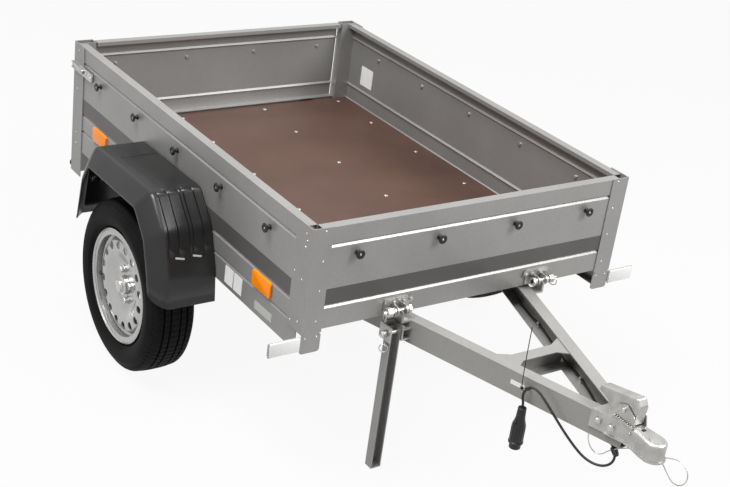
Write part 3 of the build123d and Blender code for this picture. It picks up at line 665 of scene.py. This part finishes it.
guard = {
    "axleY": 0.400, "innerX": 0.5655, "innerLip": 0.004, "wall": 0.0035,
    "low": 0.348, "high": 0.662, "reach": 0.310, "sharp": 40,
    # folds from the front foot over the top to the rear foot, as distance from the axle and height
    "folds": [(-0.310, 0.348), (-0.300, 0.440), (-0.2775, 0.5075), (-0.255, 0.575), (-0.172, 0.662),
              (0.225, 0.652), (0.271, 0.579), (0.2855, 0.5095), (0.300, 0.440), (0.310, 0.385)],
    "foldSoft": 0.016, "foldSteps": 4,
    "topEnds": (-0.172, 0.225), "topSlope": -0.0252, "rearRise": 0.25,
    "grooves": [0.595, 0.6285, 0.6405, 0.6760, 0.7080], "grooveHalf": 0.0030, "grooveFlat": 0.45,
    "grooveDeep": 0.0040, "grooveFade": (0.500, 0.545), "grooveStart": (-0.010, 0.010),
    # from the crest to the skirt's edge: x, how far the form drops under the crest, how far the
    # outline shrinks, and how far the foot rises
    "skirt": [(0.7190, 0.0, 0.0, 0.001), (0.7240, 0.0012, 0.0, 0.002), (0.7290, 0.0025, 0.003, 0.003),
              (0.7350, 0.0, 0.011, 0.005), (0.7480, 0.0, 0.026, 0.011), (0.7560, 0.0, 0.036, 0.018),
              (0.7615, 0.0, 0.0435, 0.026), (0.7635, 0.0, 0.0490, 0.033), (0.7638, 0.0, 0.0530, 0.040)],
}


def softLine(points, reach, steps):
    # a folded line with a small curve at each fold
    line = [Vector(points[0])]
    for a, b, c in zip(points, points[1:], points[2:]):
        a, b, c = Vector(a), Vector(b), Vector(c)
        before = b + (a - b).normalized() * reach
        after = b + (c - b).normalized() * reach
        line += [before.lerp(b, t).lerp(b.lerp(after, t), t) for t in [i / steps for i in range(steps + 1)]]
    return line + [Vector(points[-1])]


def share(value, ends):
    # how far the value lies between two ends, from 0 to 1
    return min(1.0, max(0.0, (value - ends[0]) / (ends[1] - ends[0])))


def guardForm(line, stations, side):
    # a grid laid over the folded line and bent down at its outer side, grooved on its sloping faces
    part = bmesh.new()
    made = bmesh.ops.create_grid(part, x_segments=len(line) - 1, y_segments=len(stations) - 1, size=1)
    slopes = [(line[min(i + 1, len(line) - 1)] - line[max(i - 1, 0)]).normalized() for i in range(len(line))]
    foot = guard["high"] - guard["low"]
    # the front foot's outer corner is well rounded, the rear one's only a little
    footRise = {0: 1.0, len(line) - 1: guard["rearRise"]}
    for v in made["verts"]:
        i = round((v.co.x + 1) / 2 * (len(line) - 1))
        x, drop, shrink, rise = stations[round((v.co.y + 1) / 2 * (len(stations) - 1))]
        along, z = line[i]
        out = Vector((-slopes[i].y, slopes[i].x))
        if x < guard["skirt"][0][0]:
            past = max(guard["topEnds"][0] - along, along - guard["topEnds"][1])
            drop *= share(z, guard["grooveFade"]) * share(past, guard["grooveStart"])
        lift = rise * footRise[i] if i in footRise else -shrink * (z - guard["low"]) / foot
        v.co = (side * x, guard["axleY"] + along * (1 - shrink / guard["reach"]) - out.x * drop,
                z + lift - out.y * drop)
    top = max(part.faces, key=lambda face: face.calc_center_median().z)
    top.normal_update()
    if top.normal.z < 0:
        bmesh.ops.reverse_faces(part, faces=part.faces)
    return part


def makeGuards():
    line = softLine(guard["folds"], guard["foldSoft"], guard["foldSteps"])
    half, flat, deep = guard["grooveHalf"], guard["grooveFlat"], guard["grooveDeep"]
    stations = [(guard["innerX"], 0, 0, 0), (guard["innerX"] + guard["innerLip"], 0, 0, 0)]
    for x in guard["grooves"]:
        stations += [(x + half * t, drop, 0, 0) for t, drop in ((-1, 0), (-flat, deep), (flat, deep), (1, 0))]
    stations += guard["skirt"]
    for name, side in bothSides.items():
        part = guardForm(line, stations, side)
        piece = finishPiece(part, "mudguardShell_" + name, "box", blackPlastic,
                            sharp=guard["sharp"], replaces=["mudguard_" + name])
        thicken = piece.modifiers.new("wall", "SOLIDIFY")
        thicken.thickness = guard["wall"]
        thicken.offset = -1
        thicken.use_even_offset = False


# slots on the guard's sloping faces, and the shallow pockets and cross rib on its top; the slots are pale
# grey patches, painted light where light shows through them
guardMarks = {
    "slotFaces": [((-0.300, 0.440), (-0.255, 0.575)), ((0.300, 0.440), (0.271, 0.579))],
    "slotX": [0.677, 0.621], "slotZ": 0.495, "slotSize": (0.030, 0.0060), "slotRound": 0.49,
    "slotThick": 0.0014, "slotSoft": 0.0004, "slotSink": 0.0004, "slotTurn": 0.25,
    "pocketX": [0.674, 0.614], "pocketY": -0.150, "pocketR": 0.017, "pocketHigh": 0.0020,
    "pocketOval": 0.62,
    "ribY": 0.113, "ribX": (0.570, 0.690), "ribR": 0.0030, "ribSides": 10, "ribSink": 0.0008,
}


def guardTop(side, x, along, out=0.0):
    # a spot on the guard's top, which falls a little to the rear
    z = guard["high"] + (along - guard["topEnds"][0]) * guard["topSlope"]
    return side * x, guard["axleY"] + along, z + out


def makeGuardMarks():
    width, high = guardMarks["slotSize"]
    outline = roundedOutline(width, high, high * guardMarks["slotRound"])
    for name, side in bothSides.items():
        slots, marks = bmesh.new(), bmesh.new()
        for a, b in guardMarks["slotFaces"]:
            a, b = Vector(a), Vector(b)
            along, z = a.lerp(b, (guardMarks["slotZ"] - a.y) / (b.y - a.y))
            out = Vector((0, (b.y - a.y) * math.copysign(1, a.x), abs(b.x - a.x)))
            for x in guardMarks["slotX"]:
                place = standAt((side * x, guard["axleY"] + along, z), out,
                                (1, 0, guardMarks["slotTurn"] * side))
                join(slots, slab(outline, guardMarks["slotThick"], guardMarks["slotSoft"]),
                     place @ Matrix.Translation((0, 0, -guardMarks["slotSink"])))
        for x in guardMarks["pocketX"]:
            dome = rivetHead(guardMarks["pocketR"], guardMarks["pocketHigh"])
            bmesh.ops.scale(dome, vec=(1.0, guardMarks["pocketOval"], 1.0), verts=dome.verts)
            join(marks, dome, standAt(guardTop(side, x, guardMarks["pocketY"])))
        rib = [guardTop(side, x, guardMarks["ribY"], -guardMarks["ribSink"]) for x in guardMarks["ribX"]]
        join(marks, bentRod(rib, guardMarks["ribR"], guardMarks["ribSides"]))
        # the slots are pale grey patches: painted light showing through the openings
        finishPiece(slots, "guardSlotsPaintedLight_" + name, "box", greyFoilAndSlotLight)
        finishPiece(marks, "guardPockets_" + name, "box", blackPlastic)


wheel = {
    "x": 0.670, "y": 0.400, "z": 0.2735, "segments": 168, "sharp": 32,
    "crownR": 0.2695, "innerRibTo": 0.034, "outerRibFrom": 0.042,
    "shoulderR": (0.2570, 0.2610), "shoulderFrom": 0.060, "sipeRim": 0.0040, "sipeDeep": 0.0016,
    "bolts": 4, "boltCircle": 0.049, "boltTurn": math.radians(21), "boltBase": 0.035,
    "bolt": (0.019, 0.015), "washer": (0.0135, 0.004, 0.0030),
    # grease cap and valve, measured out from the wheel's middle
    "cap": [(0.0215, 0.0550), (0.0232, 0.0560), (0.0232, 0.0580), (0.0212, 0.0592), (0.0200, 0.0632),
            (0.0150, 0.0655), (0.0, 0.0662)],
    "valve": [(0.158, 0.010), (0.157, 0.026), (0.153, 0.040), (0.150, 0.052)],
    "valveR": 0.0042, "valveTurn": math.radians(13),
}
# half of the tyre's section as (radius, distance from the middle), bead to crown
tyreHalf = [
    (0.1660, 0.0560), (0.1780, 0.0572), (0.1845, 0.0575), (0.1870, 0.0610), (0.1925, 0.0668),
    (0.1990, 0.0716), (0.2005, 0.0735), (0.2030, 0.0745), (0.2060, 0.0752), (0.2140, 0.0775),
    (0.2220, 0.0785), (0.2310, 0.0779), (0.2325, 0.0768), (0.2350, 0.0762), (0.2375, 0.0768),
    (0.2410, 0.0752), (0.2480, 0.0722), (0.2535, 0.0693), (0.2640, 0.0620), (0.2668, 0.0595),
    (0.2690, 0.0560), (0.2698, 0.0535), (0.2712, 0.0410), (0.2650, 0.0402), (0.2650, 0.0355),
    (0.2722, 0.0347), (0.2732, 0.0192), (0.2670, 0.0184), (0.2670, 0.0138), (0.2734, 0.0130),
]


def wheelPlace(side):
    return standAt((side * wheel["x"], wheel["y"], wheel["z"]), (side, 0, 0), (0, 1, 0))


def sipeFaces(part):
    # every second face of the ribs and the shoulders, staggered from rib to rib
    chosen = []
    for face in part.faces:
        middle = face.calc_center_median()
        radius = math.hypot(middle.x, middle.y)
        step = round((math.atan2(middle.y, middle.x) % math.tau) / math.tau * wheel["segments"] - 0.5)
        across = abs(middle.z)
        innerRib = across < wheel["innerRibTo"]
        onRib = radius > wheel["crownR"] and (innerRib or across > wheel["outerRibFrom"])
        onShoulder = (wheel["shoulderR"][0] < radius < wheel["shoulderR"][1]
                      and across > wheel["shoulderFrom"])
        if onRib and step % 2 == int(innerRib) or onShoulder and step % 2 == 0:
            chosen.append(face)
    return chosen


def makeTyres():
    profile = tyreHalf + [(r, -u) for r, u in reversed(tyreHalf)]
    for name, side in bothSides.items():
        part = lathe(profile + [profile[0]], wheel["segments"])
        # the sipes are drawn wider than they are, so that they show
        bmesh.ops.inset_individual(part, faces=sipeFaces(part), thickness=wheel["sipeRim"],
                                   depth=-wheel["sipeDeep"])
        bmesh.ops.transform(part, matrix=wheelPlace(side), verts=part.verts)
        finishPiece(part, "tyreTread_" + name, "wheel_" + name, rubber, sharp=wheel["sharp"],
                    replaces=["tyre_" + name])


def makeWheelTrim():
    for name, side in bothSides.items():
        place = wheelPlace(side)
        part = bmesh.new()
        for i in range(wheel["bolts"]):
            a = wheel["boltTurn"] + math.tau * i / wheel["bolts"]
            spot = place @ Matrix.Translation((wheel["boltCircle"] * math.cos(a),
                                               wheel["boltCircle"] * math.sin(a), wheel["boltBase"]))
            join(part, hexHead(*wheel["bolt"]), spot)
            join(part, washer(*wheel["washer"]), spot)
        join(part, lathe(wheel["cap"]), place)
        finishPiece(part, "wheelBolts_" + name, "wheel_" + name, zinc)
        a = wheel["valveTurn"]
        stem = bentRod([(r * math.cos(a), r * math.sin(a), u) for r, u in wheel["valve"]], wheel["valveR"])
        bmesh.ops.transform(stem, matrix=place, verts=stem.verts)
        finishPiece(stem, "valveStem_" + name, "wheel_" + name, knobPlastic)


locks = {
    "plateY": -0.382, "boltX": [0.212, 0.235, 0.268], "boltZ": 0.532,
    "washer": (0.0085, 0.003, 0.0014), "bolt": (0.010, 0.0055), "boltLift": 0.0012,
    "pinY": -0.402, "pinZ": 0.514, "nutX": [0.225, 0.287, 0.296], "nut": (0.024, 0.0085), "nutTurn": 0.3,
    "ringX": 0.309, "ringDrop": 0.011, "ringR": 0.0135, "ringTurn": 0.35,
}


def makeLockTrim():
    part, rings = bmesh.new(), bmesh.new()
    for side in (-1, 1):
        for x in locks["boltX"]:
            spot = frontPlace(side * x, locks["boltZ"], locks["plateY"])
            join(part, washer(*locks["washer"]), spot)
            join(part, hexHead(*locks["bolt"]), spot @ Matrix.Translation((0, 0, locks["boltLift"])))
        for x in locks["nutX"]:
            spot = standAt((side * x, locks["pinY"], locks["pinZ"]), (side, 0, 0), (0, 1, locks["nutTurn"]))
            join(part, hexHead(*locks["nut"]), spot)
        centre = (side * locks["ringX"], locks["pinY"], locks["pinZ"] - locks["ringDrop"])
        join(rings, wireRing(centre, locks["ringR"], (side, locks["ringTurn"], 0)))
    finishPiece(part, "lockNuts", "box", zinc)
    finishPiece(rings, "lockRings", "box", zinc)


legTrim = {
    "x": -0.277, "y": -0.407, "z": 0.450, "nut": (0.017, 0.007), "nutOut": 0.034, "nutIn": 0.024,
    "pinX": (0.012, 0.024), "pinAhead": 0.004, "pinDrop": 0.036, "pinR": 0.0040,
    "ringGap": 0.004, "ringDrop": 0.008, "ringR": 0.0125, "ringOut": (-0.55, -0.83, 0),
}


def makeLegTrim():
    # cap nuts on the leg's pivot bolt, and the pull ring on its pin beside the leg
    part = bmesh.new()
    for side, out in ((-1, legTrim["nutOut"]), (1, legTrim["nutIn"])):
        place = (legTrim["x"] + side * out, legTrim["y"], legTrim["z"])
        join(part, hexHead(*legTrim["nut"]), standAt(place, (side, 0, 0)))
    finishPiece(part, "legNuts", "drawbar", zinc)
    part = bmesh.new()
    y, z = legTrim["y"] - legTrim["pinAhead"], legTrim["z"] - legTrim["pinDrop"]
    join(part, bentRod([(legTrim["x"] - x, y, z) for x in legTrim["pinX"]], legTrim["pinR"]))
    centre = (legTrim["x"] - legTrim["pinX"][1] - legTrim["ringGap"], y, z - legTrim["ringDrop"])
    join(part, wireRing(centre, legTrim["ringR"], legTrim["ringOut"]))
    finishPiece(part, "legRingPin", "prop_leg", zinc)


couplingTrim = {
    "rivets": [(0.0256, -1.099, 0.474), (0.0244, -1.123, 0.466)], "rivet": (0.0040, 0.0030),
    "stripX": -0.0265, "stripY": (-1.104, -1.036), "stripZ": 0.4928, "stripWide": 0.0065,
    "stripThick": 0.004, "stripSoft": 0.0008,
    "teeth": 9, "toothZ": 0.4960, "toothLong": 0.0042, "toothHigh": 0.0045, "toothSoft": 0.0012,
    "ridge": [(0.0, 0.0), (0.0195, 0.0), (0.0185, 0.0022), (0.0150, 0.0034), (0.0, 0.0040)],
    "ridgePlace": (0, -1.165, 0.4905), "ridgeSteps": 36,
    "bolts": [(-1.009, 0.465), (-1.047, 0.463)], "boltOut": 0.0113, "boltHead": (0.0092, 0.0028),
    "leverPin": (0.0272, -1.062, 0.524), "leverPinHead": (0.0062, 0.0022),
    "wearPin": (0, -1.120, 0.4835), "wearPinSize": (0.010, 0.0065, 0.016), "wearPinSoft": 0.0010,
}


def makeCouplingTrim():
    trim = couplingTrim
    part = bmesh.new()
    for side in (-1, 1):
        for x, y, z in trim["rivets"]:
            join(part, rivetHead(*trim["rivet"]), standAt((side * x, y, z), (side, 0, 0)))
    # toothed wear strip beside the lever
    first, last = trim["stripY"]
    join(part, block((trim["stripWide"], last - first, trim["stripThick"]), trim["stripSoft"]),
         Matrix.Translation((trim["stripX"], (first + last) / 2, trim["stripZ"])))
    for i in range(trim["teeth"]):
        y = first + (last - first) * (i + 0.5) / trim["teeth"]
        join(part, block((trim["stripWide"], trim["toothLong"], trim["toothHigh"]), trim["toothSoft"]),
             Matrix.Translation((trim["stripX"], y, trim["toothZ"])))
    # pressed ridge over the nose
    join(part, lathe(trim["ridge"], trim["ridgeSteps"]), standAt(trim["ridgePlace"]))
    finishPiece(part, "couplingTrim", "drawbar", couplingZinc)
    part = bmesh.new()
    for side in (-1, 1):
        for y, z in trim["bolts"]:
            spot = standAt((side * (armX(y) + trim["boltOut"]), y, z), (side, -arms["slope"], 0))
            join(part, rivetHead(*trim["boltHead"]), spot)
        x, y, z = trim["leverPin"]
        join(part, rivetHead(*trim["leverPinHead"]), standAt((side * x, y, z), (side, 0, 0)))
    finishPiece(part, "couplingBoltHeads", "drawbar", zinc)
    # plastic wear pin in the top of the head
    part = bmesh.new()
    join(part, block(trim["wearPinSize"], trim["wearPinSoft"]), Matrix.Translation(trim["wearPin"]))
    finishPiece(part, "wearPin", "drawbar", knobPlastic)


cableTrim = {
    "tieWidth": 0.0048, "tieThick": 0.0014, "tieAcross": (0.25, 1, 0),
    "tail": [(-0.1290, -0.796, 0.462), (-0.1295, -0.794, 0.500), (-0.1285, -0.791, 0.560),
             (-0.1270, -0.789, 0.610), (-0.1262, -0.788, 0.639)],
    "buckle": (-0.1290, -0.7965, 0.4590), "buckleSize": (0.0075, 0.0065, 0.0060), "buckleSoft": 0.0010,
    "band": (-0.1190, -0.8030, 0.4560), "bandR": 0.0115, "bandOut": (0.1, 0.35, 1), "bandPoints": 24,
    # each clip's place and the way the cable runs through it
    "clips": [((0.1905, -0.498, 0.4287), (-0.29, -0.95, 0.05)),
              ((0.0995, -0.788, 0.4288), (-0.33, -0.94, -0.02))],
    "clipInner": 0.0042, "clipOuter": 0.0056, "clipHalf": 0.005, "clipFoot": 0.010, "clipSoft": 0.0008,
    "gland": [(0.0045, -0.013), (0.0085, -0.012), (0.0095, -0.006), (0.0088, 0.004), (0.0070, 0.012),
              (0.0045, 0.013), (0.0045, -0.013)],
    "glandPlace": (-0.0125, -1.0555, 0.3890), "glandOut": (-0.2, -0.85, -0.50), "glandSteps": 20,
}


def ribbon(points, width, thick, across):
    # a flat strip that follows the points
    part = bmesh.new()
    side = Vector(across).normalized() * width / 2
    rings = [[part.verts.new(Vector(p) - side), part.verts.new(Vector(p) + side)] for p in points]
    for (a, b), (c, d) in zip(rings, rings[1:]):
        part.faces.new((a, b, d, c))
    bmesh.ops.solidify(part, geom=part.faces[:], thickness=thick)
    bmesh.ops.recalc_face_normals(part, faces=part.faces)
    return part


def makeCableTrim():
    trim = cableTrim
    # the tie's band goes round the cable and back to the arm's web, and its tail stands up
    part = bmesh.new()
    join(part, ribbon(trim["tail"], trim["tieWidth"], trim["tieThick"], trim["tieAcross"]))
    join(part, block(trim["buckleSize"], trim["buckleSoft"]), Matrix.Translation(trim["buckle"]))
    join(part, wireRing(trim["band"], trim["bandR"], trim["bandOut"], trim["bandPoints"]))
    finishPiece(part, "cableTie", "drawbar", knobPlastic)
    part = bmesh.new()
    inner, outer, half = trim["clipInner"], trim["clipOuter"], trim["clipHalf"]
    flange = arms["bottom"] + arms["flange"]
    for place, along in trim["clips"]:
        ring = lathe([(inner, -half), (outer, -half), (outer, half), (inner, half), (inner, -half)], 24)
        join(part, ring, standAt(place, along))
        foot = place[2] - flange - half
        join(part, block((trim["clipFoot"], trim["clipFoot"], foot), trim["clipSoft"]),
             Matrix.Translation((place[0], place[1], flange + foot / 2)))
    finishPiece(part, "cableClips", "drawbar", zinc)
    # the gland that gathers the cable under the head
    part = bmesh.new()
    join(part, lathe(trim["gland"], trim["glandSteps"]), standAt(trim["glandPlace"], trim["glandOut"]))
    finishPiece(part, "cableGland", "drawbar", knobPlastic)


# seven-pin plug: body of revolution hanging mouth down, then grip ribs and a screw boss
plugForm = {
    "x": -0.124, "y": -0.809, "steps": 40,
    "profile": [(0.0, 0.4040), (0.0100, 0.4040), (0.0116, 0.4030), (0.0120, 0.3960), (0.0112, 0.3950),
                (0.0120, 0.3935), (0.0124, 0.3860), (0.0114, 0.3850), (0.0124, 0.3838), (0.0132, 0.3720),
                (0.0150, 0.3640), (0.0172, 0.3560), (0.0186, 0.3520), (0.0190, 0.3480), (0.0192, 0.3020),
                (0.0188, 0.3000), (0.0206, 0.2990), (0.0208, 0.2950), (0.0200, 0.2930), (0.0162, 0.2920),
                (0.0162, 0.2780), (0.0152, 0.2768), (0.0138, 0.2768), (0.0138, 0.2860), (0.0, 0.2860)],
    "ribs": 12, "ribR": 0.0192, "ribZ": 0.326, "ribSize": (0.0016, 0.0022, 0.040), "ribSoft": 0.0005,
    "boss": [(0, 0), (0.0052, 0), (0.0052, 0.0035), (0.0040, 0.0045), (0, 0.0045)], "bossSteps": 16,
    "bossR": 0.0165, "bossZ": 0.360, "bossTilt": 0.35,
}


def makePlug():
    x, y = plugForm["x"], plugForm["y"]
    part = bmesh.new()
    join(part, lathe(plugForm["profile"], plugForm["steps"]), Matrix.Translation((x, y, 0)))
    for i in range(plugForm["ribs"]):
        a = math.tau * i / plugForm["ribs"]
        spot = (x + plugForm["ribR"] * math.cos(a), y + plugForm["ribR"] * math.sin(a), plugForm["ribZ"])
        join(part, block(plugForm["ribSize"], plugForm["ribSoft"]),
             Matrix.Translation(spot) @ Matrix.Rotation(a, 4, "Z"))
    boss = standAt((x - plugForm["bossR"], y, plugForm["bossZ"]), (-1, 0, plugForm["bossTilt"]))
    join(part, lathe(plugForm["boss"], plugForm["bossSteps"]), boss)
    return finishPiece(part, "plugShell", "drawbar", knobPlastic, replaces=["plug"])


rearLamps = {
    "x": 0.420, "y": 1.1665, "z": 0.392, "traySize": (0.110, 0.084), "trayThick": 0.008,
    "trayCorner": 0.012, "traySoft": 0.0015,
    # each window's middle and size on the tray
    "redWindow": ((0, 0.021), (0.100, 0.034)),
    "amberWindow": ((-0.026, -0.019), (0.048, 0.038)),
    "clearWindow": ((0.026, -0.019), (0.048, 0.038)),
    "windowThick": 0.0115, "windowLift": 0.004, "windowCorner": 0.005, "windowSoft": 0.0018,
}


def makeRearLamps():
    # black tray, then red, amber and clear windows side by side
    tray, redPart, amberPart, clearPart = (bmesh.new() for i in range(4))
    windows = ((redPart, "redWindow"), (amberPart, "amberWindow"), (clearPart, "clearWindow"))
    trayOutline = roundedOutline(*rearLamps["traySize"], rearLamps["trayCorner"])
    for side in (-1, 1):
        place = rearPlace(side * rearLamps["x"], rearLamps["z"], rearLamps["y"])
        join(tray, slab(trayOutline, rearLamps["trayThick"], rearLamps["traySoft"]), place)
        for part, key in windows:
            centre, size = rearLamps[key]
            lens = slab(roundedOutline(*size, rearLamps["windowCorner"], 4), rearLamps["windowThick"],
                        rearLamps["windowSoft"], 3)
            join(part, lens, place @ Matrix.Translation((*centre, rearLamps["windowLift"])))
    finishPiece(tray, "lampTrays", "box", knobPlastic)
    finishPiece(redPart, "lampRedWindows", "box", red, replaces=["rear_lamps"])
    finishPiece(amberPart, "lampAmberWindows", "box", amber)
    finishPiece(clearPart, "lampClearWindows", "box", silvered)


latch = {
    "z": 0.717, "face": 0.570, "rivetY": [1.026, 1.046, 1.064], "rivet": (0.0045, 0.0026),
    "handleY": 1.116, "handleSize": (0.070, 0.017), "handleCorner": 0.0065, "handleThick": 0.0055,
    "handleSoft": 0.0012,
    "rod": [(0.5735, 1.120), (0.5735, 1.168), (0.572, 1.176)], "rodUp": 0.009, "rodR": 0.0021,
}


def makeLatchTrim():
    # over-centre handle between its rivets and the two rods that reach the gate
    part = bmesh.new()
    for side in (-1, 1):
        for y in latch["rivetY"]:
            join(part, rivetHead(*latch["rivet"]), sidePlace(side, y, latch["z"], latch["face"]))
        handle = slab(roundedOutline(*latch["handleSize"], latch["handleCorner"]), latch["handleThick"],
                      latch["handleSoft"])
        join(part, handle, sidePlace(side, latch["handleY"], latch["z"], latch["face"]))
        for up in (latch["rodUp"], -latch["rodUp"]):
            join(part, bentRod([(side * x, y, latch["z"] + up) for x, y in latch["rod"]], latch["rodR"]))
    finishPiece(part, "latchHandles", "box", zinc)


makeFoils()
makeFixings()
makeKnobs()
makeReflectors()
print("box dressed")
makeGuards()
makeGuardMarks()
makeTyres()
makeWheelTrim()
print("wheels and guards made")
makeLockTrim()
makeLegTrim()
makeCouplingTrim()
makeCableTrim()
makeRearLamps()
makeLatchTrim()
print("drawbar and rear dressed")

plugShell = makePlug()
makeCord("mainCable", mainCable, sheath, "main_cable", "drawbar")
makeCord("safetyWire", safetyWire, zinc, "safety_wire", "drawbar")
print("cords laid")
